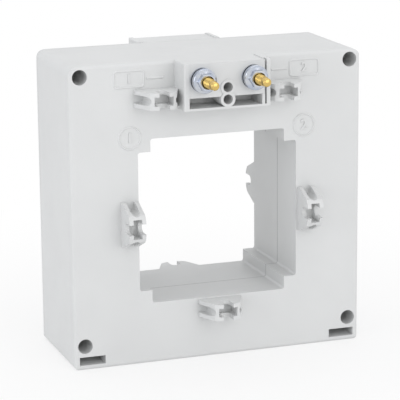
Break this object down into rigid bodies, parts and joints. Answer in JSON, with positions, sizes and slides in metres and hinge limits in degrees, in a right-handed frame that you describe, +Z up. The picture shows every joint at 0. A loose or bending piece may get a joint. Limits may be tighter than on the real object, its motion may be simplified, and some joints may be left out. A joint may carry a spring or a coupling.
{
  "type": "window current transformer",
  "caption": "Grey moulded window current transformer with a stepped square busbar opening, ramped clamp lugs round it, corner through holes and brass terminal studs on both sides",
  "frame": {"origin": "centre of the bounding box in plan, at the level of the base", "axes": "X to the right seen from the front, Y from the front face to the rear, Z up"},
  "size_m": [0.15, 0.1246, 0.1505],
  "materials": {
    "housing": "fine satin moulding texture",
    "core_steel": "wound strip edges",
    "nylon": "smooth natural moulding",
    "copper_wire": "enamelled copper",
    "tape": "woven insulating tape",
    "brass": "turned and threaded",
    "tinned_copper": "tin plated",
    "zinc_steel": "bright zinc plated",
    "rubber": "matt"
  },
  "bodies": {
    "root": {"front_shell": "housing", "rear_shell": "housing", "core": "core_steel", "core_cap_front": "nylon", "core_cap_rear": "nylon", "coil_top": "copper_wire", "coil_bottom": "copper_wire", "coil_left": "copper_wire", "coil_right": "copper_wire", "coil_tapes": "tape", "coil_links": "copper_wire", "stud_left": "brass", "stud_right": "brass", "lead_left": "copper_wire", "lead_right": "copper_wire", "ring_terminals": "tinned_copper", "inner_nuts": "zinc_steel", "flat_washers": "zinc_steel", "spring_washers": "zinc_steel", "flange_nuts": "zinc_steel", "core_pads": "rubber"}
  },
  "joints": []
}
